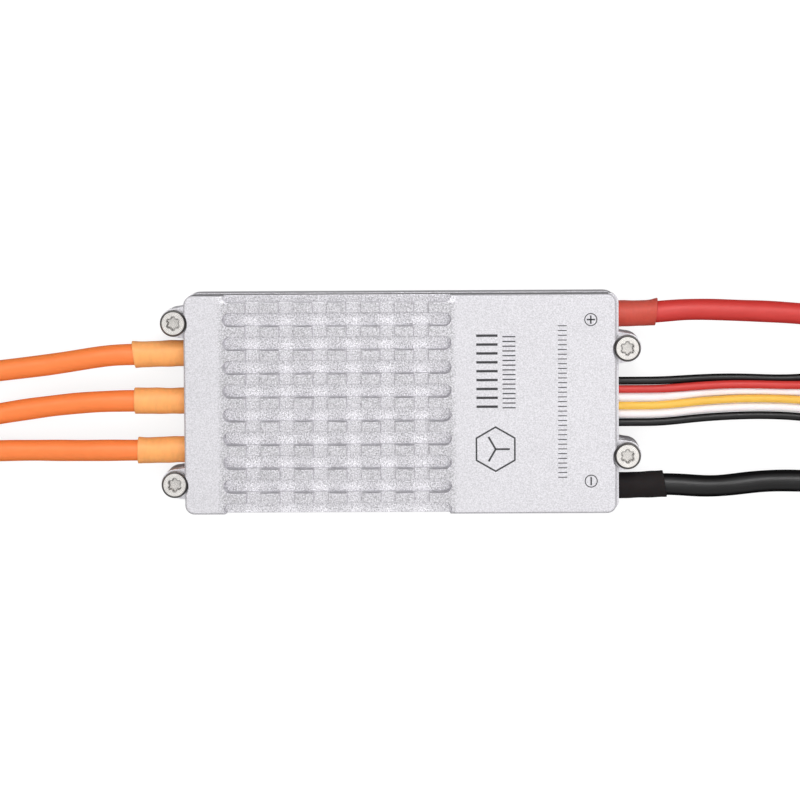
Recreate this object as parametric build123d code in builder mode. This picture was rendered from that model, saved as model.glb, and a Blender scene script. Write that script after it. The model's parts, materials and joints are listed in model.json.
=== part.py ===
"""Electronic speed controller: two-piece aluminium case, board stack, leads and plugs.

Millimetres. The origin is the centre of the case's flat underside, +X points to the battery and
signal end, +Y to the side of the positive lead and +Z up through the heat-sink fins.
"""
import os

from build123d import *

# ---------------------------------------------------------------------------------------------
# Driving dimensions
# ---------------------------------------------------------------------------------------------
CASE_HEIGHT = 16.0
SPLIT_Z = 8.0  # the two shells meet here, and every lead leaves on this plane
WALL = 2.0

COVER_LENGTH, COVER_WIDTH, COVER_CORNER = 73.0, 37.05, 1.6
BASE_LENGTH, BASE_WIDTH, BASE_CORNER = 74.4, 37.3, 2.5
TOP_CHAMFER, FOOT_CHAMFER = 0.25, 0.4
LEDGE_X, LEDGE_TOP = 37.05, 11.0  # step over the battery-end openings, proud of the cover's end

CAVITY_LENGTH, CAVITY_WIDTH, CAVITY_CORNER = 69.0, 32.7, 1.0
FLOOR = 1.5
FIN_ZONE_CEILING = 10.5
CAPACITOR_CEILING, CAPACITOR_ROOM_START = 14.2, 11.0

FIN_PITCH, SLOT_WIDTH, SLOT_DEPTH, SLOT_COUNT = 4.03, 2.38, 3.2, 10  # widths at the top face
SLOT_LENGTH, SLOT_CENTRE_X, SLOT_CENTRE_Y = 38.7, -10.65, 0.3
NOTCH_COUNT, NOTCH_PITCH, NOTCH_WIDTH, NOTCH_DEPTH = 6, 5.7, 2.6, 1.9
NOTCH_CENTRE_X = -10.65
FIN_DRAFT = 3.0  # degrees; slot and notch walls lean open for the die

LUG_X, LUG_RADIUS, LUG_ROOT_HALF, LUG_TOP = 38.5, 2.45, 2.9, 10.7
PHASE_LUG_Y, BATTERY_LUG_Y = 13.75, 9.15
HEAD_RELIEF_RADIUS = 2.6

SCREW_RADIUS, SCREW_LENGTH = 1.25, 6.0  # M2.5 x 6
HEAD_RADIUS, HEAD_HEIGHT, HEAD_CHAMFER = 2.25, 2.5, 0.36
CLEARANCE_HOLE_RADIUS, TAPPED_HOLE_RADIUS = 1.45, 1.27
TAPPED_HOLE_DEPTH = 3.8
FOOT_HOLE_RADIUS, FOOT_HOLE_DEPTH = 1.52, 3.2  # M3, for mounting from below
LOBE_RADIUS, LOBE_RELIEF_RADIUS, LOBE_RELIEF_CIRCLE, RECESS_DEPTH = 1.15, 0.42, 1.3, 1.2

LEAD_RADIUS, CONDUCTOR_RADIUS, SLEEVE_RADIUS = 1.78, 0.95, 2.25
SLIP = 0.02  # radial gap between parts that slide over each other during assembly
OPENING_GAP = 0.05
PHASE_LEAD_Y = {"a": 8.45, "b": 0.3, "c": -8.05}
POWER_LEAD_Y = {"positive": 14.85, "negative": -14.55}
LEAD_END, BARE_END = 97.0, 5.0
INSULATION_START, SLEEVE_START = 32.3, 32.7

SIGNAL_COUNT, SIGNAL_PITCH, SIGNAL_Y = 6, 1.42, -0.2
SIGNAL_RADIUS, SIGNAL_CORE_RADIUS = 0.69, 0.24

POWER_BOARD_LENGTH, POWER_BOARD_WIDTH, POWER_BOARD_TOP, POWER_BOARD_THICK = 64.0, 32.1, 7.0, 1.6
POWER_BOARD_BOTTOM = POWER_BOARD_TOP - POWER_BOARD_THICK
CONTROL_BOARD_LENGTH, CONTROL_BOARD_WIDTH = 68.0, 32.1
CONTROL_BOARD_BOTTOM, CONTROL_BOARD_THICK = 2.6, 1.0
CONTROL_BOARD_TOP = CONTROL_BOARD_BOTTOM + CONTROL_BOARD_THICK
BOARD_SCREW_XY = [(-29.5, -13.3), (-29.5, 13.3), (29.6, -9.0), (29.6, 9.0)]
BOARD_SCREW_RADIUS, BOARD_HEAD_RADIUS, BOARD_HEAD_HEIGHT = 1.0, 1.75, 1.2
BOARD_SCREW_TIP, BOARD_HOLE_BOTTOM, BOSS_RADIUS = 0.9, 0.7, 2.2

FET_SIZE = (5.2, 6.2, 1.0)
FET_COLUMNS, FET_PITCH, FET_ROW_Y, FET_CENTRE_X = 6, 5.9, 5.2, -9.5
THERMAL_PAD_SIZE, THERMAL_PAD_THICK = (35.6, 18.6), 0.5
PEDESTAL_SIZE = (36.0, 19.0)
CAN_RADIUS, CAN_LENGTH, CAN_PITCH, CAN_START_X = 3.15, 15.0, 6.8, 12.2
CAN_GAP = 0.15  # bead of adhesive space under each can

PLUG_START, PLUG_LENGTH, PLUG_WIDTH, PLUG_HEIGHT = 98.0, 14.0, 7.62, 2.54
PLUG_Y, PLUG_Z, PLUG_PITCH = 5.5, 1.32, 2.54
PLUG_WIRE_DEPTH, CONTACT_START, CONTACT_LENGTH, CONTACT_SIDE = 4.0, 6.0, 6.0, 1.6
CONTACT_ROOM_SIDE = 1.7

# Lead routes beyond the straight sleeved part: (x, y, z) of each bend, sagging onto the bench.
PHASE_ROUTES = {
    "a": [(-56.0, 7.05, 6.5), (-67.0, 5.55, 4.3), (-LEAD_END, 3.5, 1.9)],
    "b": [(-56.0, -0.2, 6.5), (-67.0, -1.7, 4.3), (-LEAD_END, -4.5, 1.9)],
    "c": [(-56.0, -8.3, 6.5), (-67.0, -8.45, 4.3), (-LEAD_END, -9.8, 1.9)],
}
PHASE_SLEEVE_ENDS = {"a": 45.7, "b": 45.6, "c": 45.1}
POWER_ROUTES = {
    "positive": [(50.0, 15.15, 7.4), (58.0, 15.15, 6.1), (67.0, 14.6, 4.3), (LEAD_END, 12.6, 1.9)],
    "negative": [(53.0, -15.05, 6.9), (61.5, -14.3, 5.2), (68.0, -14.3, 4.1), (LEAD_END, -15.5, 1.9)],
}
POWER_SLEEVE_ENDS = {"positive": 43.6, "negative": 45.0}

# Signal wires in order from +Y: each rides a little high or low where the ribbon is squeezed.
SIGNAL_NAMES = ["black_1", "red", "white_1", "yellow", "white_2", "black_2"]
SQUEEZED_Y = [3.3, 2.2, 1.0, -0.3, -1.75, -3.2]
SQUEEZED_Z = [-0.5, 0.45, -0.35, 0.3, 0.0, 0.0]
SIGNAL_STRAIGHT_END = 42.0


def save(part, name):
    """Label a finished solid and write it to its own STEP file."""
    part.label = name
    export_step(part, f"parts/{name}.step")


os.makedirs("parts", exist_ok=True)
# ---------------------------------------------------------------------------------------------
# Case shells
# ---------------------------------------------------------------------------------------------
phase_lugs = [(-LUG_X, -PHASE_LUG_Y), (-LUG_X, PHASE_LUG_Y)]
battery_lugs = [(LUG_X, -BATTERY_LUG_Y), (LUG_X, BATTERY_LUG_Y)]
lug_centres = phase_lugs + battery_lugs
signal_wire_y = [SIGNAL_Y + (SIGNAL_COUNT - 1 - 2 * i) / 2 * SIGNAL_PITCH for i in range(SIGNAL_COUNT)]


def lug_outline(x, y, end_face):
    """Round ear about the screw with a web that flares to the case's end face."""
    root_x = (end_face - WALL / 2) * (1 if x > 0 else -1)
    with Locations((x, y)):
        Circle(LUG_RADIUS)
    Polygon(
        (root_x, y - LUG_ROOT_HALF),
        (x, y - LUG_RADIUS),
        (x, y + LUG_RADIUS),
        (root_x, y + LUG_ROOT_HALF),
        align=None,
    )


def case_outline(length, width, corner):
    """Plan of one shell: rounded rectangle with four screw ears and small root fillets."""
    RectangleRounded(length, width, corner)
    for x, y in lug_centres:
        lug_outline(x, y, length / 2)


def cavity_outline(length, centre_x=0.0):
    with Locations((centre_x, 0)):
        RectangleRounded(length, CAVITY_WIDTH, CAVITY_CORNER)


# Holes through the end walls on the split plane, half in each shell
opening_start = INSULATION_START - 2 * OPENING_GAP
opening_length = LUG_X - opening_start
with BuildPart() as lead_openings:
    with BuildSketch(Plane.YZ.offset(-opening_start)):
        with Locations(*[(y, SPLIT_Z) for y in PHASE_LEAD_Y.values()]):
            Circle(SLEEVE_RADIUS + OPENING_GAP)
    extrude(amount=-opening_length)
    with BuildSketch(Plane.YZ.offset(opening_start)):
        with Locations(*[(y, SPLIT_Z) for y in POWER_LEAD_Y.values()]):
            Circle(SLEEVE_RADIUS + OPENING_GAP)
        with Locations((SIGNAL_Y, SPLIT_Z)):
            SlotOverall(
                SIGNAL_COUNT * SIGNAL_PITCH + 2 * OPENING_GAP,
                2 * (SIGNAL_RADIUS + OPENING_GAP),
            )
    extrude(amount=opening_length)

with BuildPart() as heat_sink_cover:
    with BuildSketch(Plane.XY.offset(SPLIT_Z)):
        RectangleRounded(COVER_LENGTH, COVER_WIDTH, COVER_CORNER)
    extrude(amount=CASE_HEIGHT - SPLIT_Z)
    chamfer(heat_sink_cover.faces().sort_by(Axis.Z)[-1].edges(), TOP_CHAMFER)
    with BuildSketch(Plane.XY.offset(SPLIT_Z)):
        with Locations((LEDGE_X - COVER_LENGTH / 4, 0)):
            RectangleRounded(COVER_LENGTH / 2, COVER_WIDTH, COVER_CORNER)
    extrude(amount=LEDGE_TOP - SPLIT_Z)
    # screw ears, and the round relief that lets each screw head sit against the end face
    with BuildSketch(Plane.XY.offset(SPLIT_Z)) as cover_plan:
        case_outline(COVER_LENGTH, COVER_WIDTH, COVER_CORNER)
    extrude(amount=LUG_TOP - SPLIT_Z)
    with BuildSketch(Plane.XY.offset(LUG_TOP)):
        with Locations(*lug_centres):
            Circle(HEAD_RELIEF_RADIUS)
    extrude(amount=CASE_HEIGHT - LUG_TOP, mode=Mode.SUBTRACT)
    with BuildSketch(Plane.XY.offset(SPLIT_Z)):
        with Locations(*lug_centres):
            Circle(CLEARANCE_HOLE_RADIUS)
    extrude(amount=LUG_TOP - SPLIT_Z, mode=Mode.SUBTRACT)
    # cooling fins: long drafted slots, then shallower cross cuts that leave rows of blocks
    with BuildSketch(Plane.XY.offset(CASE_HEIGHT)):
        with Locations((SLOT_CENTRE_X, SLOT_CENTRE_Y)):
            with GridLocations(0, FIN_PITCH, 1, SLOT_COUNT):
                SlotOverall(SLOT_LENGTH, SLOT_WIDTH)
    extrude(amount=-SLOT_DEPTH, taper=FIN_DRAFT, mode=Mode.SUBTRACT)
    with BuildSketch(Plane.XY.offset(CASE_HEIGHT)):
        with Locations((NOTCH_CENTRE_X, 0)):
            with GridLocations(NOTCH_PITCH, 0, NOTCH_COUNT, 1):
                Rectangle(NOTCH_WIDTH, COVER_WIDTH + WALL)
    extrude(amount=-NOTCH_DEPTH, taper=FIN_DRAFT, mode=Mode.SUBTRACT)
    # inside: room for the boards, a taller room for the capacitors, a pedestal over the transistors
    with BuildSketch(Plane.XY.offset(SPLIT_Z)):
        cavity_outline(CAVITY_LENGTH)
    extrude(amount=FIN_ZONE_CEILING - SPLIT_Z, mode=Mode.SUBTRACT)
    capacitor_room = CAVITY_LENGTH / 2 - CAPACITOR_ROOM_START
    with BuildSketch(Plane.XY.offset(SPLIT_Z)):
        cavity_outline(capacitor_room, CAPACITOR_ROOM_START + capacitor_room / 2)
    extrude(amount=CAPACITOR_CEILING - SPLIT_Z, mode=Mode.SUBTRACT)
    pedestal_face = POWER_BOARD_TOP + FET_SIZE[2] + THERMAL_PAD_THICK
    with BuildSketch(Plane.XY.offset(pedestal_face)):
        with Locations((FET_CENTRE_X, 0)):
            RectangleRounded(*PEDESTAL_SIZE, CAVITY_CORNER)
    extrude(amount=FIN_ZONE_CEILING - pedestal_face)
    add(lead_openings.part, mode=Mode.SUBTRACT)
save(heat_sink_cover.part, "heat_sink_cover")

with BuildPart() as base_shell:
    with BuildSketch():
        RectangleRounded(BASE_LENGTH, BASE_WIDTH, BASE_CORNER)
    extrude(amount=SPLIT_Z)
    chamfer(base_shell.faces().sort_by(Axis.Z)[0].edges(), FOOT_CHAMFER)
    with BuildSketch(Plane.XY.offset(FOOT_CHAMFER)):
        case_outline(BASE_LENGTH, BASE_WIDTH, BASE_CORNER)
    extrude(amount=SPLIT_Z - FOOT_CHAMFER)
    with BuildSketch():
        for lug_x, lug_y in lug_centres:
            lug_outline(lug_x, lug_y, BASE_LENGTH / 2)
    extrude(amount=FOOT_CHAMFER)
    with BuildSketch(Plane.XY.offset(FLOOR)):
        cavity_outline(CAVITY_LENGTH)
    extrude(amount=SPLIT_Z - FLOOR, mode=Mode.SUBTRACT)
    # bosses that carry the board stack
    with BuildSketch(Plane.XY.offset(FLOOR)):
        with Locations(*BOARD_SCREW_XY):
            Circle(BOSS_RADIUS)
    extrude(amount=CONTROL_BOARD_BOTTOM - FLOOR)
    with BuildSketch(Plane.XY.offset(BOARD_HOLE_BOTTOM)):
        with Locations(*BOARD_SCREW_XY):
            Circle(BOARD_SCREW_RADIUS + SLIP)
    extrude(amount=CONTROL_BOARD_BOTTOM - BOARD_HOLE_BOTTOM, mode=Mode.SUBTRACT)
    # cover screws are tapped in from above, mounting screws from below, with a web between
    with BuildSketch(Plane.XY.offset(SPLIT_Z)):
        with Locations(*lug_centres):
            Circle(TAPPED_HOLE_RADIUS)
    extrude(amount=-TAPPED_HOLE_DEPTH, mode=Mode.SUBTRACT)
    with BuildSketch():
        with Locations(*lug_centres):
            Circle(FOOT_HOLE_RADIUS)
    extrude(amount=FOOT_HOLE_DEPTH, mode=Mode.SUBTRACT)
    add(lead_openings.part, mode=Mode.SUBTRACT)
save(base_shell.part, "base_shell")

with BuildPart() as cover_screws:
    with BuildSketch(Plane.XY.offset(LUG_TOP)):
        with Locations(*lug_centres):
            Circle(HEAD_RADIUS)
    extrude(amount=HEAD_HEIGHT)
    chamfer(cover_screws.faces().group_by(Axis.Z)[-1].edges(), HEAD_CHAMFER)
    with BuildSketch(Plane.XY.offset(LUG_TOP)):
        with Locations(*lug_centres):
            Circle(SCREW_RADIUS)
    extrude(amount=-SCREW_LENGTH)
    # six-lobe drive recess
    with BuildSketch(Plane.XY.offset(LUG_TOP + HEAD_HEIGHT)):
        with Locations(*lug_centres):
            Circle(LOBE_RADIUS)
            with PolarLocations(LOBE_RELIEF_CIRCLE, 6):
                Circle(LOBE_RELIEF_RADIUS, mode=Mode.SUBTRACT)
    extrude(amount=-RECESS_DEPTH, mode=Mode.SUBTRACT)
save(cover_screws.part, "cover_screws")

# ---------------------------------------------------------------------------------------------
# Silicone end seals: strips pressed behind each end wall, open where the leads pass
# ---------------------------------------------------------------------------------------------
PHASE_SEAL_WIDTH, BATTERY_SEAL_WIDTH = 31.0, 24.2  # the power leads pass outside the shorter strip
SEAL_LOW, SEAL_HIGH, SEAL_THICK = 4.6, 10.4, 1.7
seal_outer_x = CAVITY_LENGTH / 2 - OPENING_GAP
seal_middle_z = (SEAL_LOW + SEAL_HIGH) / 2

with BuildPart() as phase_end_seal:
    with BuildSketch(Plane.YZ.offset(-seal_outer_x)):
        with Locations((0, seal_middle_z)):
            RectangleRounded(PHASE_SEAL_WIDTH, SEAL_HIGH - SEAL_LOW, CAVITY_CORNER)
        with Locations(*[(y, SPLIT_Z) for y in PHASE_LEAD_Y.values()]):
            Circle(SLEEVE_RADIUS + SLIP, mode=Mode.SUBTRACT)
    extrude(amount=SEAL_THICK)
save(phase_end_seal.part, "phase_end_seal")

with BuildPart() as battery_end_seal:
    with BuildSketch(Plane.YZ.offset(seal_outer_x)):
        with Locations((0, seal_middle_z)):
            RectangleRounded(BATTERY_SEAL_WIDTH, SEAL_HIGH - SEAL_LOW, CAVITY_CORNER)
        with Locations((SIGNAL_Y, SPLIT_Z)):
            SlotOverall(
                SIGNAL_COUNT * SIGNAL_PITCH + 2 * SLIP,
                2 * (SIGNAL_RADIUS + SLIP),
                mode=Mode.SUBTRACT,
            )
    extrude(amount=-SEAL_THICK)
save(battery_end_seal.part, "battery_end_seal")

# ---------------------------------------------------------------------------------------------
# Power board and what is soldered to it
# ---------------------------------------------------------------------------------------------
with BuildPart() as power_board:
    with BuildSketch(Plane.XY.offset(POWER_BOARD_BOTTOM)):
        RectangleRounded(POWER_BOARD_LENGTH, POWER_BOARD_WIDTH, CAVITY_CORNER)
        with Locations(*BOARD_SCREW_XY):
            Circle(BOARD_SCREW_RADIUS + OPENING_GAP, mode=Mode.SUBTRACT)
    extrude(amount=POWER_BOARD_THICK)
save(power_board.part, "power_board")

with BuildPart() as mosfets:
    with BuildSketch(Plane.XY.offset(POWER_BOARD_TOP)):
        with Locations((FET_CENTRE_X, 0)):
            with GridLocations(FET_PITCH, 2 * FET_ROW_Y, FET_COLUMNS, 2):
                Rectangle(FET_SIZE[0], FET_SIZE[1])
    extrude(amount=FET_SIZE[2])
save(mosfets.part, "mosfets")

with BuildPart() as thermal_pad:
    with BuildSketch(Plane.XY.offset(POWER_BOARD_TOP + FET_SIZE[2])):
        with Locations((FET_CENTRE_X, 0)):
            Rectangle(*THERMAL_PAD_SIZE)
    extrude(amount=THERMAL_PAD_THICK)
save(thermal_pad.part, "thermal_pad")

CRIMP_OFFSET, CRIMP_WIDTH, CRIMP_DEPTH = 2.2, 0.8, 0.35
can_axis_z = POWER_BOARD_TOP + CAN_GAP + CAN_RADIUS
with BuildPart() as bus_capacitors:
    with BuildSketch(Plane.YZ.offset(CAN_START_X)):
        with Locations((0, can_axis_z)):
            with GridLocations(CAN_PITCH, 0, 4, 1):
                Circle(CAN_RADIUS)
    extrude(amount=CAN_LENGTH)
    # rolled-in crimp ring that holds the rubber bung
    with BuildSketch(Plane.YZ.offset(CAN_START_X + CRIMP_OFFSET)):
        with Locations((0, can_axis_z)):
            with GridLocations(CAN_PITCH, 0, 4, 1):
                Circle(CAN_RADIUS + CAN_GAP)
                Circle(CAN_RADIUS - CRIMP_DEPTH, mode=Mode.SUBTRACT)
    extrude(amount=CRIMP_WIDTH, mode=Mode.SUBTRACT)
save(bus_capacitors.part, "bus_capacitors")

SHUNT_SIZE, SHUNT_PITCH, SHUNT_Y = (6.3, 3.2, 0.8), 10.5, 11.8
with BuildPart() as current_shunts:
    with BuildSketch(Plane.XY.offset(POWER_BOARD_TOP)):
        with Locations((FET_CENTRE_X, SHUNT_Y)):
            with GridLocations(SHUNT_PITCH, 0, 3, 1):
                Rectangle(SHUNT_SIZE[0], SHUNT_SIZE[1])
    extrude(amount=SHUNT_SIZE[2])
save(current_shunts.part, "current_shunts")

CERAMIC_SIZE, CERAMIC_PITCH, CERAMIC_COUNT = (3.2, 2.5, 1.6), 4.2, 8
with BuildPart() as ceramic_capacitors:
    with BuildSketch(Plane.XY.offset(POWER_BOARD_TOP)):
        with Locations((FET_CENTRE_X, -SHUNT_Y)):
            with GridLocations(CERAMIC_PITCH, 0, CERAMIC_COUNT, 1):
                Rectangle(CERAMIC_SIZE[0], CERAMIC_SIZE[1])
    extrude(amount=CERAMIC_SIZE[2])
save(ceramic_capacitors.part, "ceramic_capacitors")

BUSBAR_START, BUSBAR_END, BUSBAR_WIDTH, BUSBAR_THICK, BUSBAR_Y = -26.5, 27.9, 1.9, 0.8, 15.0
for side, polarity in ((1, "positive"), (-1, "negative")):
    with BuildPart() as busbar:
        with BuildSketch(Plane.XY.offset(POWER_BOARD_TOP)):
            with Locations(((BUSBAR_START + BUSBAR_END) / 2, side * BUSBAR_Y)):
                Rectangle(BUSBAR_END - BUSBAR_START, BUSBAR_WIDTH)
        extrude(amount=BUSBAR_THICK)
    save(busbar.part, f"{polarity}_busbar")

SOLDER_START, SOLDER_END, SOLDER_WIDTH, SOLDER_HEIGHT = 28.0, 31.8, 2.4, 1.3
CONDUCTOR_TIP = 28.2
solder_points = [(-1, y) for y in PHASE_LEAD_Y.values()] + [(1, y) for y in POWER_LEAD_Y.values()]
with BuildPart() as solder_joints:
    with BuildSketch(Plane.XY.offset(POWER_BOARD_TOP)):
        with Locations(*[(end * (SOLDER_START + SOLDER_END) / 2, y) for end, y in solder_points]):
            Rectangle(SOLDER_END - SOLDER_START, SOLDER_WIDTH)
    extrude(amount=SOLDER_HEIGHT)
    for end, y in solder_points:
        with BuildSketch(Plane.YZ.offset(end * (CONDUCTOR_TIP - OPENING_GAP))):
            with Locations((y, SPLIT_Z)):
                Circle(CONDUCTOR_RADIUS + SLIP)
        extrude(amount=end * 2 * WALL, mode=Mode.SUBTRACT)
save(solder_joints.part, "solder_joints")

# ---------------------------------------------------------------------------------------------
# Control board below the power board
# ---------------------------------------------------------------------------------------------
with BuildPart() as control_board:
    with BuildSketch(Plane.XY.offset(CONTROL_BOARD_BOTTOM)):
        RectangleRounded(CONTROL_BOARD_LENGTH, CONTROL_BOARD_WIDTH, CAVITY_CORNER)
        with Locations(*BOARD_SCREW_XY):
            Circle(BOARD_SCREW_RADIUS + OPENING_GAP, mode=Mode.SUBTRACT)
    extrude(amount=CONTROL_BOARD_THICK)
save(control_board.part, "control_board")

CHIPS = {
    "microcontroller": ((7.0, 7.0, 1.2), [(2.0, 0.0)]),
    "gate_drivers": ((4.0, 4.0, 0.9), [(-18.0, -8.0), (-18.0, 0.0), (-18.0, 8.0)]),
    "buck_regulator": ((4.9, 3.9, 1.5), [(15.0, -7.0)]),
    "buck_inductor": ((5.2, 5.2, 1.7), [(15.0, 7.0)]),
    "crystal": ((3.2, 2.5, 0.8), [(2.0, 7.0)]),
}
for chip_name, (chip_size, chip_places) in CHIPS.items():
    with BuildPart() as chip:
        with BuildSketch(Plane.XY.offset(CONTROL_BOARD_TOP)):
            with Locations(*chip_places):
                Rectangle(chip_size[0], chip_size[1])
        extrude(amount=chip_size[2])
        chamfer(chip.faces().group_by(Axis.Z)[-1].edges(), 0.1)
    save(chip.part, chip_name)

HEADER_LENGTH, HEADER_WIDTH, HEADER_XY = 20.3, 2.5, (-2.0, -13.0)
stack_gap = POWER_BOARD_BOTTOM - CONTROL_BOARD_TOP
with BuildPart() as board_header:
    with BuildSketch(Plane.XY.offset(CONTROL_BOARD_TOP)):
        with Locations(HEADER_XY):
            Rectangle(HEADER_LENGTH, HEADER_WIDTH)
    extrude(amount=stack_gap)
save(board_header.part, "board_header")

SPACER_RADIUS = 1.9
with BuildPart() as board_spacers:
    with BuildSketch(Plane.XY.offset(CONTROL_BOARD_TOP)):
        with Locations(*BOARD_SCREW_XY):
            Circle(SPACER_RADIUS)
            Circle(BOARD_SCREW_RADIUS + OPENING_GAP, mode=Mode.SUBTRACT)
    extrude(amount=stack_gap)
save(board_spacers.part, "board_spacers")

CROSS_WIDTH, CROSS_LENGTH, CROSS_DEPTH = 0.4, 2.0, 0.7
with BuildPart() as board_screws:
    with BuildSketch(Plane.XY.offset(POWER_BOARD_TOP)):
        with Locations(*BOARD_SCREW_XY):
            Circle(BOARD_HEAD_RADIUS)
    extrude(amount=BOARD_HEAD_HEIGHT)
    fillet(board_screws.faces().group_by(Axis.Z)[-1].edges(), 0.4)
    with BuildSketch(Plane.XY.offset(POWER_BOARD_TOP)):
        with Locations(*BOARD_SCREW_XY):
            Circle(BOARD_SCREW_RADIUS)
    extrude(amount=BOARD_SCREW_TIP - POWER_BOARD_TOP)
    with BuildSketch(Plane.XY.offset(POWER_BOARD_TOP + BOARD_HEAD_HEIGHT)):
        with Locations(*BOARD_SCREW_XY):
            Rectangle(CROSS_LENGTH, CROSS_WIDTH)
            Rectangle(CROSS_WIDTH, CROSS_LENGTH)
    extrude(amount=-CROSS_DEPTH, mode=Mode.SUBTRACT)
save(board_screws.part, "board_screws")

SOCKET_START, SOCKET_END, SOCKET_WIDTH, SOCKET_HEIGHT = 27.5, 31.8, 9.2, 2.1
CORE_TIP = 29.0
with BuildPart() as signal_socket:
    with BuildSketch(Plane.XY.offset(POWER_BOARD_TOP)):
        with Locations(((SOCKET_START + SOCKET_END) / 2, SIGNAL_Y)):
            Rectangle(SOCKET_END - SOCKET_START, SOCKET_WIDTH)
    extrude(amount=SOCKET_HEIGHT)
    with BuildSketch(Plane.YZ.offset(SOCKET_END)):
        with Locations(*[(y, SPLIT_Z) for y in signal_wire_y]):
            Circle(SIGNAL_CORE_RADIUS + SLIP)
    extrude(amount=CORE_TIP - SOCKET_END - OPENING_GAP, mode=Mode.SUBTRACT)
save(signal_socket.part, "signal_socket")


# ---------------------------------------------------------------------------------------------
# Heavy silicone leads: tinned conductor, insulation and a heat-shrink sleeve at the case
# ---------------------------------------------------------------------------------------------
def swept_lead(start_x, y, straight_end, bends, tail, outer, inner=0.0):
    """Round lead from inside the case: straight through the wall, then along its bends."""
    outward = 1 if straight_end > 0 else -1
    knee = (straight_end, y, SPLIT_Z)
    with BuildPart() as lead:
        with BuildLine() as route:
            Line((start_x, y, SPLIT_Z), knee)
            Spline(knee, *bends, tangents=[(outward, 0, 0), (outward, 0, 0)])
            if tail:
                last = bends[-1]
                Line(last, (last[0] + outward * tail, last[1], last[2]))
        for radius, mode in ((outer, Mode.ADD), (inner, Mode.SUBTRACT)):
            if radius:
                with BuildSketch(Plane(origin=(start_x, y, SPLIT_Z), z_dir=(outward, 0, 0))):
                    Circle(radius)
                sweep(path=route.wires()[0], mode=mode)
    return lead.part


def swept_sleeve(y, sleeve_end):
    """Heat-shrink tube on the straight part of a lead."""
    outward = 1 if sleeve_end > 0 else -1
    with BuildPart() as sleeve:
        with BuildSketch(Plane.YZ.offset(outward * SLEEVE_START)):
            with Locations((y, SPLIT_Z)):
                Circle(SLEEVE_RADIUS)
                Circle(LEAD_RADIUS + SLIP, mode=Mode.SUBTRACT)
        extrude(amount=sleeve_end - outward * SLEEVE_START)
    return sleeve.part


def heavy_lead(name, y, sleeve_end, bends):
    outward = 1 if sleeve_end > 0 else -1
    knee = sleeve_end + outward * SLIP
    inside = outward * INSULATION_START
    save(swept_lead(inside, y, knee, bends, 0, LEAD_RADIUS, CONDUCTOR_RADIUS + SLIP), f"{name}_lead")
    tip = outward * CONDUCTOR_TIP
    save(swept_lead(tip, y, knee, bends, BARE_END, CONDUCTOR_RADIUS), f"{name}_conductor")
    save(swept_sleeve(y, sleeve_end), f"{name}_sleeve")


for phase, bends in PHASE_ROUTES.items():
    heavy_lead(f"phase_{phase}", PHASE_LEAD_Y[phase], -PHASE_SLEEVE_ENDS[phase], bends)
for polarity, bends in POWER_ROUTES.items():
    heavy_lead(polarity, POWER_LEAD_Y[polarity], POWER_SLEEVE_ENDS[polarity], bends)

# ---------------------------------------------------------------------------------------------
# Six thin signal wires that end in two three-way plugs
# ---------------------------------------------------------------------------------------------
# (x, centre y, centre z, spread, share of the squeeze across, share of the squeeze up and down)
RIBBON_STATIONS = [
    (50.0, 0.17, 7.4, 1.0, 0.5, 0.85),
    (57.5, 0.38, 6.4, 1.0, 1.0, 1.05),
    (67.0, 0.1, 4.8, 1.0, 1.0, 1.05),
    (75.0, 0.0, 3.4, 1.12, 0.0, 0.5),
    (86.0, 0.0, 1.9, 1.45, 0.0, 0.0),
]
plug_wire_y = [
    plug_y + (1 - i) * PLUG_PITCH for plug_y in (PLUG_Y, -PLUG_Y) for i in range(SIGNAL_COUNT // 2)
]


def ribbon_bends(i):
    """Bend points of signal wire i, counted from the +Y side."""
    flat_y = signal_wire_y[i] - SIGNAL_Y
    bends = []
    for x, centre_y, centre_z, spread, across, up in RIBBON_STATIONS:
        y = centre_y + spread * flat_y + across * (SQUEEZED_Y[i] - flat_y)
        bends.append((x, y, centre_z + up * SQUEEZED_Z[i]))
    bends.append((PLUG_START - OPENING_GAP, plug_wire_y[i], PLUG_Z))
    return bends


for i, colour in enumerate(SIGNAL_NAMES):
    start_x = SOCKET_END + OPENING_GAP
    bends, knee_x = ribbon_bends(i), SIGNAL_STRAIGHT_END
    wire = swept_lead(start_x, signal_wire_y[i], knee_x, bends, PLUG_WIRE_DEPTH, SIGNAL_RADIUS)
    save(wire, f"signal_wire_{colour}")

# bare stranded ends: one set in the board socket, one set in the plugs' crimps
with BuildPart() as signal_wire_ends:
    with BuildSketch(Plane.YZ.offset(CORE_TIP)):
        with Locations(*[(y, SPLIT_Z) for y in signal_wire_y]):
            Circle(SIGNAL_CORE_RADIUS)
    extrude(amount=SOCKET_END + OPENING_GAP - CORE_TIP)
    with BuildSketch(Plane.YZ.offset(PLUG_START - OPENING_GAP + PLUG_WIRE_DEPTH)):
        with Locations(*[(y, PLUG_Z) for y in plug_wire_y]):
            Circle(SIGNAL_CORE_RADIUS)
    extrude(amount=CONTACT_START - PLUG_WIRE_DEPTH)
save(signal_wire_ends.part, "signal_wire_ends")

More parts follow.
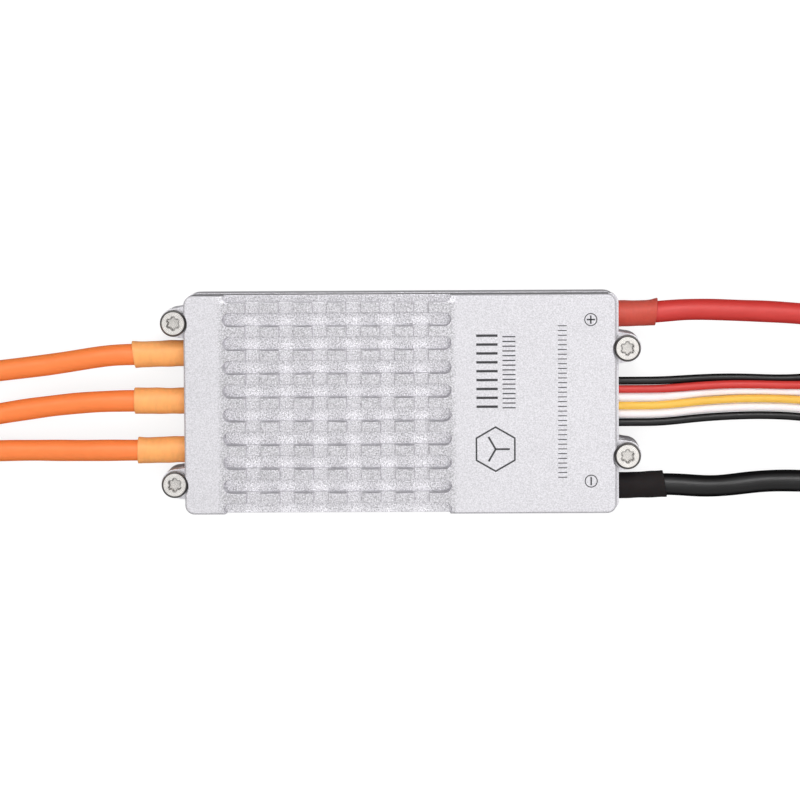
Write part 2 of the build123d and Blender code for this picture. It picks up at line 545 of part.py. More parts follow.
PLUG_EDGE, WINDOW_LENGTH, WINDOW_WIDTH, WINDOW_X = 0.2, 3.2, 1.1, PLUG_START + 8.6
for plug_y, plug_name in ((PLUG_Y, "throttle_plug"), (-PLUG_Y, "telemetry_plug")):
    plug_ways = [(plug_y + (1 - i) * PLUG_PITCH, PLUG_Z) for i in range(3)]
    with BuildPart() as plug_housing:
        with BuildSketch(Plane.YZ.offset(PLUG_START)):
            with Locations((plug_y, PLUG_Z)):
                Rectangle(PLUG_WIDTH, PLUG_HEIGHT)
        extrude(amount=PLUG_LENGTH)
        chamfer(plug_housing.edges().filter_by(Axis.X), PLUG_EDGE)
        with BuildSketch(Plane.YZ.offset(PLUG_START)):
            with Locations(*plug_ways):
                Circle(SIGNAL_RADIUS + OPENING_GAP)
        extrude(amount=CONTACT_START, mode=Mode.SUBTRACT)
        with BuildSketch(Plane.YZ.offset(PLUG_START + CONTACT_START)):
            with Locations(*plug_ways):
                Rectangle(CONTACT_ROOM_SIDE, CONTACT_ROOM_SIDE)
        extrude(amount=PLUG_LENGTH - CONTACT_START, mode=Mode.SUBTRACT)
        # latch windows over the contacts
        with BuildSketch(Plane.XY.offset(PLUG_Z)):
            with Locations(*[(WINDOW_X, y) for y, _ in plug_ways]):
                Rectangle(WINDOW_LENGTH, WINDOW_WIDTH)
        extrude(amount=PLUG_HEIGHT, mode=Mode.SUBTRACT)
    save(plug_housing.part, plug_name)
    with BuildPart() as plug_contacts:
        with BuildSketch(Plane.YZ.offset(PLUG_START + CONTACT_START)):
            with Locations(*plug_ways):
                Rectangle(CONTACT_SIDE, CONTACT_SIDE)
        extrude(amount=CONTACT_LENGTH)
        # socket for the mating pin
        with BuildSketch(Plane.YZ.offset(PLUG_START + CONTACT_START + CONTACT_LENGTH)):
            with Locations(*plug_ways):
                Rectangle(CONTACT_SIDE / 2, CONTACT_SIDE / 2)
        extrude(amount=-CONTACT_LENGTH / 2, mode=Mode.SUBTRACT)
    save(plug_contacts.part, f"{plug_name}_contacts")
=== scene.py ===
"""Looks for the electronic speed controller: finishes, flexible leads, laser marks and studio."""
import json
import math

import bpy
import numpy as np
from mathutils import Matrix, Vector


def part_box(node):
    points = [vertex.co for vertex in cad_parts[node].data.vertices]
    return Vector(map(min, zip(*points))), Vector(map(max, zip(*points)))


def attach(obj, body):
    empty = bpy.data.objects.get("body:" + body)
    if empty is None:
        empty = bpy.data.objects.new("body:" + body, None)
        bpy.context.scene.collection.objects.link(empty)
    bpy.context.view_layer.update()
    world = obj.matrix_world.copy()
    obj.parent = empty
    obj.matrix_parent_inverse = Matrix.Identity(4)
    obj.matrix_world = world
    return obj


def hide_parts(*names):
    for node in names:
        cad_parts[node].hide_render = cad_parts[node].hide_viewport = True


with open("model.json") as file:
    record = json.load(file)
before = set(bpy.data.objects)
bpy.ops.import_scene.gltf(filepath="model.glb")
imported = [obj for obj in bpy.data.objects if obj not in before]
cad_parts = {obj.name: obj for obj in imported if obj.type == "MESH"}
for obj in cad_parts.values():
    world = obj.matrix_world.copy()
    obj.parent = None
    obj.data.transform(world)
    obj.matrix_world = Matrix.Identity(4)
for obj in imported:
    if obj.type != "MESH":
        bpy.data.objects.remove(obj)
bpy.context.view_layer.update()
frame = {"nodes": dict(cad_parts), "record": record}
NODES = frame["nodes"]
SLOT_OF = {s["node"]: s["material_slot"] for s in frame["record"]["subparts"]}
MM = 0.001


# ---------------------------------------------------------------------------------------------
# Material kit
# ---------------------------------------------------------------------------------------------
def map_range(tree, value, *limits):
    """Carry a value from low..high to new_low..new_high; each limit is a number or a socket."""
    node = tree.nodes.new("ShaderNodeMapRange")
    tree.links.new(value, node.inputs[0])
    for index, limit in enumerate(limits, start=1):
        if isinstance(limit, (int, float)):
            node.inputs[index].default_value = limit
        else:
            tree.links.new(limit, node.inputs[index])
    return node.outputs[0]


class Shader:
    """A principled material with short calls for the texture nodes that feed it."""

    def __init__(self, name):
        self.material = bpy.data.materials.new(name)
        self.material.use_nodes = True
        self.tree = self.material.node_tree
        self.tree.nodes.clear()
        self.output = self.tree.nodes.new("ShaderNodeOutputMaterial")
        self.bsdf = self.tree.nodes.new("ShaderNodeBsdfPrincipled")
        self.link(self.bsdf.outputs[0], self.output.inputs[0])
        self.coords = self.tree.nodes.new("ShaderNodeTexCoord").outputs["Object"]

    def link(self, source, target):
        self.tree.links.new(source, target)

    def set(self, **values):
        for key, value in values.items():
            self.bsdf.inputs[key.replace("_", " ")].default_value = value

    def stretched(self, stretch):
        node = self.tree.nodes.new("ShaderNodeMapping")
        node.inputs["Scale"].default_value = stretch
        self.link(self.coords, node.inputs["Vector"])
        return node.outputs[0]

    def noise(self, size_mm, detail=2.0, stretch=None):
        node = self.tree.nodes.new("ShaderNodeTexNoise")
        node.inputs["Scale"].default_value = 1.0 / (size_mm * MM)
        node.inputs["Detail"].default_value = detail
        self.link(self.stretched(stretch) if stretch else self.coords, node.inputs["Vector"])
        return node.outputs["Fac"]

    def math(self, operation, a, b=0.0, clamp=False):
        node = self.tree.nodes.new("ShaderNodeMath")
        node.operation = operation
        node.use_clamp = clamp
        for socket, value in zip(node.inputs, (a, b)):
            if isinstance(value, (int, float)):
                socket.default_value = value
            else:
                self.link(value, socket)
        return node.outputs[0]

    def all_of(self, first, *others):
        """The product of several masks."""
        for other in others:
            first = self.math("MULTIPLY", first, other)
        return first

    def remap(self, value, low, high, new_low, new_high):
        return map_range(self.tree, value, low, high, new_low, new_high)

    def mix(self, factor, a, b, blend="MIX"):
        node = self.tree.nodes.new("ShaderNodeMix")
        node.data_type = "RGBA"
        node.blend_type = blend
        for socket, value in zip((node.inputs[0], node.inputs[6], node.inputs[7]), (factor, a, b)):
            if isinstance(value, (int, float)):
                socket.default_value = value
            elif isinstance(value, tuple):
                socket.default_value = (*value, 1.0)
            else:
                self.link(value, socket)
        return node.outputs[2]

    def bump(self, height, depth_mm, strength=1.0, edge_mm=0.0):
        node = self.tree.nodes.new("ShaderNodeBump")
        node.inputs["Strength"].default_value = strength
        node.inputs["Distance"].default_value = depth_mm * MM
        self.link(height, node.inputs["Height"])
        if edge_mm:
            bevel = self.tree.nodes.new("ShaderNodeBevel")
            bevel.samples = 4
            bevel.inputs["Radius"].default_value = edge_mm * MM
            self.link(bevel.outputs[0], node.inputs["Normal"])
        self.link(node.outputs[0], self.bsdf.inputs["Normal"])

    def edge_mask(self, width_mm, flat=0.97, sharp=0.80):
        """1 along sharp edges, fading to 0 at width_mm from them."""
        bevel = self.tree.nodes.new("ShaderNodeBevel")
        bevel.samples = 4
        bevel.inputs["Radius"].default_value = width_mm * MM
        normal = self.tree.nodes.new("ShaderNodeNewGeometry").outputs["Normal"]
        dot = self.tree.nodes.new("ShaderNodeVectorMath")
        dot.operation = "DOT_PRODUCT"
        self.link(bevel.outputs[0], dot.inputs[0])
        self.link(normal, dot.inputs[1])
        return self.remap(dot.outputs["Value"], flat, sharp, 0.0, 1.0)

    def grey(self, value):
        """A colour with the same number in every channel."""
        node = self.tree.nodes.new("ShaderNodeCombineColor")
        for socket in node.inputs[:3]:
            self.link(value, socket)
        return node.outputs[0]

    def split(self, vector):
        node = self.tree.nodes.new("ShaderNodeSeparateXYZ")
        self.link(vector, node.inputs[0])
        return node.outputs

    def axes(self):
        """The object's X, Y and Z."""
        return self.split(self.coords)

    def facing(self, kind):
        """X, Y and Z of the surface's normal, "Normal" or, unsmoothed, "True Normal"."""
        return self.split(self.tree.nodes.new("ShaderNodeNewGeometry").outputs[kind])


def shade(colour, factor):
    return tuple(min(channel * factor, 1.0) for channel in colour)


def surface(name, colour, roughness, metallic=0.0, grain_mm=0.25, depth_mm=0.004, tone=0.08,
            blotch_mm=5.0, spread=0.08, edge_mm=0.0, stretch=None):
    """Finish with fine grain, slow tone changes across the piece and uneven roughness."""
    s = Shader(name)
    grain = s.noise(grain_mm, 3.0, stretch)
    blotch = s.noise(blotch_mm, 2.0)
    toned = s.mix(blotch, shade(colour, 1 - tone), shade(colour, 1 + tone))
    fleck = s.remap(grain, 0.35, 0.65, 1 - tone, 1 + tone / 2)
    s.link(s.mix(1.0, toned, s.grey(fleck), "MULTIPLY"), s.bsdf.inputs["Base Color"])
    s.link(s.remap(grain, 0.3, 0.7, roughness - spread, roughness + spread), s.bsdf.inputs["Roughness"])
    s.set(Metallic=metallic)
    s.bump(grain, depth_mm, 1.0, edge_mm)
    return s


# ---------------------------------------------------------------------------------------------
# Finishes, one for each slot of the record
# ---------------------------------------------------------------------------------------------
cover_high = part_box("heat_sink_cover")[1]
PLATE_TOP = cover_high[2]
SPLIT_HEIGHT, SLOT_FLOOR = 8.0 * MM, 12.8 * MM
FIN_START, FIN_END = -30.0 * MM, 8.7 * MM  # the milled slots' ends along X
FIN_SIDE = cover_high[1] - 0.1 * MM  # just inside the cover's long sides
OUTER_FLOOR, OUTER_FLOOR_PAINTED_SHADE = 17.2 * MM, -1.2  # painted shade on the half slot at the +Y side
# Where the screw ears begin along X, and the painted light that brightens them
EAR_START, EAR_PAINTED_LIGHT = 36.75 * MM, 1.3

BLAST_COLOUR, BLAST_ROUGHNESS, BLAST_METALLIC = (0.645, 0.634, 0.664), (0.30, 0.42), 0.5
BLAST_GRAIN_MM, BLAST_SPECK_MM, BLAST_CLOUD_MM = 0.18, 0.22, 9.0
CLOUD_TONE = 0.015
PLAIN_CONTRAST, FIN_CONTRAST = 0.95, 2.5  # how far the specks stray from the mean
SIDE_PAINTED_SHADE, EDGE_PAINTED_HIGHLIGHT = (0.52, 0.74), 0.28  # painted shade on the long sides, deeper toward the top edge; painted highlight on the edges
FIN_PAINTED_LIGHT_AND_TONE, WALL_PAINTED_LIGHT = (0.12, -0.18), (-0.08, 0.45)  # slot floor painted lighter, rib top darker; painted light and shade on the walls: slot, notch
DEPTH_CURVE = 0.4  # the notch floors take nearly the rib tops' tone, with little of the slot floors' painted light
BLAST_DEPTH_MM, BLAST_BUMP, BLAST_EDGE_MM, EDGE_HIGHLIGHT_WIDTH_MM = 0.010, 0.5, 0.12, 0.14


def blasted_aluminium():
    """Bead-blasted, clear-anodised aluminium: fine pits, coarser and brighter specks on the fins.

    The cover's long sides carry painted shade, deeper toward the top edge, and its edges a painted
    highlight; on the fins the slot floors and notch walls carry painted light and the +Y half slot
    painted shade, and the ears carry painted light.
    """
    s = Shader("bead_blasted_aluminium")
    fine = s.noise(BLAST_GRAIN_MM, 4.0)
    speck = s.noise(BLAST_SPECK_MM, 3.0)
    cloud = s.remap(s.noise(BLAST_CLOUD_MM, 1.0), 0.3, 0.7, -CLOUD_TONE, CLOUD_TONE)
    x, y, z = s.axes()
    facing = s.facing("True Normal")

    outside = s.remap(s.math("ABSOLUTE", y), FIN_SIDE, FIN_SIDE + 0.05 * MM, 0.0, 1.0)
    on_fins = s.all_of(
        s.remap(x, FIN_START - MM, FIN_START, 0.0, 1.0),
        s.remap(x, FIN_END, FIN_END + MM, 1.0, 0.0),
        s.remap(z, SLOT_FLOOR - 0.2 * MM, SLOT_FLOOR - 0.1 * MM, 0.0, 1.0),
        s.math("SUBTRACT", 1.0, outside),
    )
    contrast = s.remap(on_fins, 0.0, 1.0, PLAIN_CONTRAST, FIN_CONTRAST)
    fleck = s.math("MULTIPLY", s.math("SUBTRACT", speck, 0.5), contrast)
    level = s.math("ADD", s.math("ADD", fleck, 1.0), cloud)

    # Painted shade on the cover's long sides, deepening toward the top edge.
    painted_side_shade = s.all_of(
        s.remap(s.math("ABSOLUTE", facing["Y"]), 0.4, 0.98, 0.0, 1.0),
        outside,
        s.remap(facing["Z"], 0.1, 0.3, 1.0, 0.0),
        s.remap(z, SPLIT_HEIGHT, SPLIT_HEIGHT + 0.1 * MM, 0.0, 1.0),
        s.remap(z, SPLIT_HEIGHT, PLATE_TOP, *SIDE_PAINTED_SHADE),
    )
    level = s.math("MULTIPLY", level, s.math("SUBTRACT", 1.0, painted_side_shade))
    # Painted light on the screw ears: 30% lighter.
    painted_ear_light = s.remap(s.math("ABSOLUTE", x), EAR_START, EAR_START + 0.3 * MM, 1.0, EAR_PAINTED_LIGHT)
    level = s.math("MULTIPLY", level, painted_ear_light)

    # Painted light and shade on the fins' walls: slot walls a little darker, notch walls much lighter.
    wall = s.remap(facing["Z"], 0.3, 0.7, 1.0, 0.0)
    painted_wall_light = s.remap(s.math("ABSOLUTE", facing["X"]), 0.3, 0.7, *WALL_PAINTED_LIGHT)
    # Painted shade in the half slot at the +Y side: its depth tone is turned darker.
    inner = s.remap(y, OUTER_FLOOR, OUTER_FLOOR + 0.05 * MM, 1.0, OUTER_FLOOR_PAINTED_SHADE)
    # Painted light on the slot floors, fading up to the rib tops, which are toned darker.
    height = s.math("POWER", s.remap(z, SLOT_FLOOR, PLATE_TOP, 0.0, 1.0), DEPTH_CURVE)
    painted_depth_light_and_tone = s.math("MULTIPLY", s.remap(height, 0.0, 1.0, *FIN_PAINTED_LIGHT_AND_TONE), inner)
    painted_fin_light_and_tone = s.all_of(s.math("ADD", painted_depth_light_and_tone, s.math("MULTIPLY", wall, painted_wall_light)), on_fins)
    level = s.math("MULTIPLY", level, s.math("ADD", 1.0, painted_fin_light_and_tone))
    # Painted highlight along the sharp edges.
    level = s.math("ADD", level, s.math("MULTIPLY", s.edge_mask(EDGE_HIGHLIGHT_WIDTH_MM), EDGE_PAINTED_HIGHLIGHT))

    s.link(s.mix(1.0, BLAST_COLOUR, s.grey(level), "MULTIPLY"), s.bsdf.inputs["Base Color"])
    s.link(s.remap(fine, 0.3, 0.7, *BLAST_ROUGHNESS), s.bsdf.inputs["Roughness"])
    s.set(Metallic=BLAST_METALLIC)
    pits = s.math("ADD", fine, s.math("MULTIPLY", speck, on_fins))
    s.bump(pits, BLAST_DEPTH_MM, BLAST_BUMP, BLAST_EDGE_MM)
    return s.material


LUG_X, PHASE_LUG_Y, BATTERY_LUG_Y = 38.5 * MM, 13.75 * MM, 9.15 * MM  # the cover screws' axes
HEAD_TOP, RIM_RADIUS, RIM_PAINTED_SHADE = 13.2 * MM, 1.92 * MM, 0.75
RING_PITCH_MM, SMEAR_MM, OUTLINE_MM, RECESS_PAINTED_SHADE = 0.12, 1.3, 0.3, 0.15
STEEL_DARK, STEEL_LIGHT = (0.52, 0.495, 0.475), (1.0, 0.97, 0.93)
STEEL_ROUGHNESS, STEEL_METALLIC = (0.22, 0.34), 0.85


def turned_steel():
    """Stainless screw heads: lathe rings about each screw's axis, with painted shade on the rim and in
    and around the recess.
    """
    s = Shader("turned_stainless")
    x, y, z = s.axes()
    battery_end = s.math("GREATER_THAN", x, 0.0)
    lug_y = s.remap(battery_end, 0.0, 1.0, PHASE_LUG_Y, BATTERY_LUG_Y)
    across = s.math("SUBTRACT", s.math("ABSOLUTE", x), LUG_X)
    along = s.math("SUBTRACT", s.math("ABSOLUTE", y), lug_y)
    square = s.math("ADD", s.math("MULTIPLY", across, across), s.math("MULTIPLY", along, along))
    radius = s.math("SQRT", square)
    ring = s.tree.nodes.new("ShaderNodeTexNoise")
    ring.noise_dimensions = "1D"
    ring.inputs["Scale"].default_value = 1.0 / (RING_PITCH_MM * MM)
    ring.inputs["Detail"].default_value = 3.0
    s.link(radius, ring.inputs["W"])
    lines = ring.outputs["Fac"]
    smear = s.math("MULTIPLY", s.noise(SMEAR_MM, 2.0), 0.5)
    face = s.mix(s.math("ADD", s.math("MULTIPLY", lines, 0.6), smear), STEEL_DARK, STEEL_LIGHT)
    # Painted shade on the head's chamfered rim.
    rim = s.remap(radius, RIM_RADIUS - 0.05 * MM, RIM_RADIUS + 0.05 * MM, 0.0, RIM_PAINTED_SHADE)
    # Painted shade along the recess's edges and over its floor.
    outline = s.edge_mask(OUTLINE_MM, 0.995, 0.95)
    recess_floor_shade = s.remap(z, HEAD_TOP - 0.3 * MM, HEAD_TOP - 0.1 * MM, RECESS_PAINTED_SHADE, 0.0)
    near_axis = s.remap(radius, RIM_RADIUS - 0.4 * MM, RIM_RADIUS - 0.3 * MM, 1.0, 0.0)
    painted_recess_shade = s.math("MULTIPLY", s.math("ADD", outline, recess_floor_shade), near_axis)
    shade_by = s.math("SUBTRACT", 1.0, s.math("MAXIMUM", rim, painted_recess_shade))
    s.link(s.mix(1.0, face, s.grey(shade_by), "MULTIPLY"), s.bsdf.inputs["Base Color"])
    s.link(s.remap(lines, 0.3, 0.7, *STEEL_ROUGHNESS), s.bsdf.inputs["Roughness"])
    s.set(Metallic=STEEL_METALLIC)
    s.bump(lines, 0.003, 0.8, 0.05)
    return s.material


def silicone(name, colour, roughness=0.34, gloss=(0.05, 0.22)):
    """Soft silicone insulation with light drawn lines; its specular level rises on upward-facing
    surfaces, a painted sheen along the top that leaves the sides duller.
    """
    s = surface(name, colour, roughness, grain_mm=0.5, depth_mm=0.0015, tone=0.035, blotch_mm=7.0,
                spread=0.03, stretch=(0.12, 1.0, 1.0))
    s.set(Subsurface_Weight=0.12, Subsurface_Scale=0.6 * MM)
    s.bsdf.inputs["Subsurface Radius"].default_value = (1.0, 0.45, 0.3)
    # Painted sheen: the specular level follows how far the surface faces up.
    painted_top_sheen = s.remap(s.facing("Normal")["Z"], 0.65, 0.97, *gloss)
    s.link(painted_top_sheen, s.bsdf.inputs["Specular IOR Level"])
    return s.material


def heat_shrink(name, colour, roughness=0.5, gloss=0.4):
    """Shrunk tubing: thinner, slightly translucent skin with faint crosswise puckers."""
    s = surface(name, colour, roughness, grain_mm=0.55, depth_mm=0.02, tone=0.05, blotch_mm=3.0,
                spread=0.1, stretch=(0.9, 0.35, 0.35))
    s.set(Subsurface_Weight=0.15, Subsurface_Scale=0.5 * MM, Specular_IOR_Level=gloss)
    return s.material


def circuit_board():
    """Dark green solder mask over a maze of slightly raised, lighter tracks."""
    s = Shader("circuit_board")
    brick = s.tree.nodes.new("ShaderNodeTexBrick")
    brick.inputs["Scale"].default_value = 1.0 / (2.4 * MM)
    brick.inputs["Mortar Size"].default_value = 0.09
    brick.inputs["Color1"].default_value = (0.010, 0.085, 0.040, 1)
    brick.inputs["Color2"].default_value = (0.014, 0.105, 0.050, 1)
    brick.inputs["Mortar"].default_value = (0.030, 0.190, 0.080, 1)
    s.link(s.coords, brick.inputs["Vector"])
    mask = s.mix(s.noise(3.0), brick.outputs["Color"], (0.012, 0.075, 0.035))
    s.link(mask, s.bsdf.inputs["Base Color"])
    s.link(s.remap(s.noise(0.6), 0.3, 0.7, 0.28, 0.42), s.bsdf.inputs["Roughness"])
    s.bump(brick.outputs["Fac"], 0.03, 0.4)
    return s.material


def metal(name, colour, roughness, **grain):
    return surface(name, colour, roughness, metallic=1.0, **grain).material


def plastic(name, colour, roughness, **grain):
    return surface(name, colour, roughness, **grain).material


FINISHES = {
    "bead_blasted_aluminium": blasted_aluminium(),
    "stainless_steel": turned_steel(),
    "plated_steel": metal("plated_steel", (0.58, 0.58, 0.56), 0.32, grain_mm=0.15, edge_mm=0.08),
    "orange_silicone": silicone("orange_silicone", (0.91, 0.230, 0.060), 0.44, (0.0, 0.38)),
    "orange_heat_shrink": heat_shrink("orange_heat_shrink", (0.93, 0.400, 0.125)),
    "red_silicone": silicone("red_silicone", (0.57, 0.044, 0.038), 0.46, (0.0, 0.50)),
    "red_heat_shrink": heat_shrink("red_heat_shrink", (0.53, 0.068, 0.044)),
    "black_silicone": silicone("black_silicone", (0.0068, 0.0064, 0.0068), 0.38, (0.0, 0.62)),
    "black_heat_shrink": heat_shrink("black_heat_shrink", (0.0155, 0.0125, 0.0128), 0.7, 0.12),
    "white_silicone": silicone("white_silicone", (0.86, 0.80, 0.80)),
    "yellow_silicone": silicone("yellow_silicone", (0.84, 0.50, 0.090)),
    "grey_silicone": plastic("grey_silicone", (0.33, 0.34, 0.36), 0.6, grain_mm=0.3, depth_mm=0.01),
    "tinned_copper": metal("tinned_copper", (0.74, 0.73, 0.70), 0.3, grain_mm=0.2),
    "copper": metal("bare_copper", (0.78, 0.38, 0.22), 0.32, grain_mm=0.3, stretch=(0.1, 1, 1)),
    "solder": metal("solder", (0.68, 0.68, 0.67), 0.24, grain_mm=0.9, depth_mm=0.06, edge_mm=0.3),
    "gold_plated": metal("gold_plated", (0.86, 0.62, 0.24), 0.25, grain_mm=0.2),
    "circuit_board": circuit_board(),
    "chip_plastic": plastic(
        "chip_plastic", (0.035, 0.035, 0.038), 0.55, grain_mm=0.12, depth_mm=0.006
    ),
    "can_aluminium": metal(
        "can_aluminium", (0.60, 0.61, 0.63), 0.28, grain_mm=0.2, stretch=(1, 0.1, 0.1)
    ),
    "ceramic_body": plastic("ceramic_body", (0.50, 0.36, 0.24), 0.5, grain_mm=0.2, tone=0.12),
    "white_nylon": plastic("white_nylon", (0.80, 0.78, 0.73), 0.45, grain_mm=0.4, tone=0.03),
    "black_nylon": plastic(
        "black_nylon", (0.030, 0.030, 0.031), 0.42, grain_mm=0.18, depth_mm=0.006, edge_mm=0.1
    ),
}

for node, obj in NODES.items():
    finish = FINISHES[SLOT_OF[node]]
    for index in range(max(len(obj.data.materials), 1)):
        if obj.data.materials:
            obj.data.materials[index] = finish
        else:
            obj.data.materials.append(finish)


# ---------------------------------------------------------------------------------------------
# Flexible leads, rebuilt as smooth skins along the CAD solids' own centre lines
# ---------------------------------------------------------------------------------------------
class Route:
    """A smooth centre line that gives its place and directions at any length along it."""

    def __init__(self, points):
        self.points = np.asarray(points)
        steps = np.linalg.norm(np.diff(self.points, axis=0), axis=1)
        self.lengths = np.concatenate([[0.0], np.cumsum(steps)])
        self.length = self.lengths[-1]

    def at(self, s):
        s = np.atleast_1d(np.asarray(s, float))
        inside = np.clip(s, 0, self.length)
        centre = np.stack([np.interp(inside, self.lengths, self.points[:, k]) for k in range(3)], 1)
        reach = self.length / 400
        ahead, behind = np.clip(inside + reach, 0, self.length), np.clip(inside - reach, 0, self.length)
        step = np.stack(
            [
                np.interp(ahead, self.lengths, self.points[:, k])
                - np.interp(behind, self.lengths, self.points[:, k])
                for k in range(3)
            ],
            1,
        )
        tangent = step / np.linalg.norm(step, axis=1, keepdims=True)
        side = np.cross(tangent, (0.0, 0.0, 1.0))
        side /= np.linalg.norm(side, axis=1, keepdims=True)
        up = np.cross(side, tangent)
        return centre + tangent * (s - inside)[:, None], tangent, side, up


def smoothed(values, window):
    pad = window // 2
    kernel = np.ones(window) / window
    padded = np.pad(values, ((pad, pad), (0, 0)), mode="reflect", reflect_type="odd")
    return np.stack([np.convolve(padded[:, k], kernel, "valid") for k in range(values.shape[1])], 1)


def centre_line(node, outward, step_mm=0.6):
    """Route of a CAD lead and its radius: the middle of its cuts by planes across X."""
    mesh = NODES[node].data
    verts = np.empty(len(mesh.vertices) * 3)
    mesh.vertices.foreach_get("co", verts)
    verts = verts.reshape(-1, 3)
    edges = np.empty(len(mesh.edges) * 2, int)
    mesh.edges.foreach_get("vertices", edges)
    edges = edges.reshape(-1, 2)
    a, b = verts[edges[:, 0]], verts[edges[:, 1]]
    low, high = verts[:, 0].min(), verts[:, 0].max()
    margin = 0.02 * MM
    count = int((high - low) / (step_mm * MM)) + 2
    points = []
    for x in np.linspace(low + margin, high - margin, count):
        da, db = a[:, 0] - x, b[:, 0] - x
        cut = da * db < 0
        t = (da[cut] / (da[cut] - db[cut]))[:, None]
        crossing = a[cut] + t * (b[cut] - a[cut])
        least, most = crossing[:, 1:].min(0), crossing[:, 1:].max(0)
        points.append((x, *((least + most) / 2)))
    points = np.array(points)
    points[:, 1:] = smoothed(points[:, 1:], 5)
    points[0, 0], points[-1, 0] = low, high
    if outward < 0:
        points = points[::-1]
    first = verts[np.abs(verts[:, 0] - points[0, 0]) < margin]
    radius = (first[:, 1].max() - first[:, 1].min()) / 2
    return Route(points), radius


class Skin:
    """Collects swept rings into one mesh object."""

    def __init__(self, name, material, slot):
        self.name, self.material, self.slot = name, material, slot
        self.verts, self.faces = [], []

    def sweep(self, route, profile, segments=40, ripple=None, ends="capped"):
        """profile is (length along the route, radius) pairs; it may fold back to show a wall.

        ends is "capped" for a solid end at both ends of the profile, or "joined" for a tube whose
        last ring meets its first.
        """
        s = np.array([p[0] for p in profile])
        radii = np.array([p[1] for p in profile])
        centre, tangent, side, up = route.at(s)
        angle = np.linspace(0, 2 * math.pi, segments, endpoint=False)
        radius = np.repeat(radii[:, None], segments, 1)
        slip = np.zeros_like(radius)
        if ripple:
            grow, slip = ripple(s[:, None], angle[None, :])
            radius = radius + grow
        ring = (
            centre[:, None, :]
            + radius[..., None] * (np.cos(angle)[None, :, None] * side[:, None, :]
                                   + np.sin(angle)[None, :, None] * up[:, None, :])
            + slip[..., None] * tangent[:, None, :]
        )
        start = len(self.verts)
        self.verts += [tuple(v) for v in ring.reshape(-1, 3)]
        rows = len(profile)
        for i in range(rows if ends == "joined" else rows - 1):
            for j in range(segments):
                k = (j + 1) % segments
                one, two = start + i * segments, start + (i + 1) % rows * segments
                self.faces.append((one + j, one + k, two + k, two + j))
        if ends == "capped":
            for row, flip in ((0, True), (rows - 1, False)):
                middle = len(self.verts)
                self.verts.append(tuple(ring[row].mean(0)))
                base = start + row * segments
                for j in range(segments):
                    one, two = base + j, base + (j + 1) % segments
                    self.faces.append((two, one, middle) if flip else (one, two, middle))

    def build(self, node):
        """Make the mesh object that is shown in place of a CAD node."""
        mesh = bpy.data.meshes.new(self.name)
        mesh.from_pydata(self.verts, [], self.faces)
        mesh.polygons.foreach_set("use_smooth", [True] * len(mesh.polygons))
        mesh.materials.append(self.material)
        obj = bpy.data.objects.new(self.name, mesh)
        bpy.context.collection.objects.link(obj)
        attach(obj, "root")
        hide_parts(node)


def rounded_tube(length, outer, inner, edge, bore_depth, step):
    """Profile of a cut tube: bore, square-cut end with a softened edge, wall, and the same again."""
    turn = [(edge * (1 - math.cos(a)), outer - edge * (1 - math.sin(a)))
            for a in (0.0, math.pi / 6, math.pi / 3, math.pi / 2)]
    stations = np.arange(edge * 2, length - edge * 2, step)
    walls = [(s, outer) for s in stations]
    last = [(length - s, r) for s, r in reversed(turn)]
    return ([(bore_depth, inner), (0.05 * MM, inner), (0.0, inner + 0.05 * MM)] + turn + walls + last
            + [(length, inner + 0.05 * MM), (length - 0.05 * MM, inner), (length - bore_depth, inner)])


BORE_RADIUS, BORE_DEPTH, CUT_EDGE = 0.98 * MM, 1.2 * MM, 0.14 * MM
STRAND_RADIUS, STRAND_LAY, STRAND_POINTS, STRAND_SIDES = 0.165 * MM, 16 * MM, 14, 8
# Strands in each layer, the layer's radius in mm and which way it twists
STRAND_LAYERS = ((1, 0.0, -1), (6, 0.36, -1), (13, 0.76, 1))


def strand_bundle(skin, route, start, end, rng):
    """Twisted tinned strands between two lengths of a lead's conductor."""
    for strands, layer_mm, twist in STRAND_LAYERS:
        for n in range(strands):
            reach = rng.uniform(-0.12, 0.0) * MM
            s = np.linspace(start, end + reach, STRAND_POINTS)
            centre, _, side, up = route.at(s)
            turn = 2 * math.pi * (n / strands + s / STRAND_LAY * twist)
            around = np.cos(turn)[:, None] * side + np.sin(turn)[:, None] * up
            path = Route(centre + layer_mm * MM * around)
            tip, tip_radius = STRAND_RADIUS * 0.35, STRAND_RADIUS * 0.7
            middle = np.linspace(0.1, 0.9, STRAND_POINTS) * path.length
            profile = [(0.0, tip_radius), (tip, STRAND_RADIUS)]
            profile += [(x, STRAND_RADIUS) for x in middle]
            profile += [(path.length - tip, STRAND_RADIUS), (path.length, tip_radius)]
            skin.sweep(path, profile, STRAND_SIDES)


def wave(s, pitch_mm, phase):
    """A sine along a lead."""
    return np.sin(s / (pitch_mm * MM) * 2 * math.pi + phase)


def silicone_ripple(seed):
    """The faint unevenness of a hand-handled silicone lead, its heights in millimetres."""
    rng = np.random.default_rng(seed)
    phase = rng.uniform(0, 2 * math.pi, 3)

    def ripple(s, angle):
        oval = wave(s, 9.0, phase[0]) * np.cos(2 * angle + phase[1])
        swell = wave(s, 21.0, phase[2])
        return (0.018 * oval + 0.014 * swell) * MM, np.zeros(np.broadcast(s, angle).shape)

    return ripple


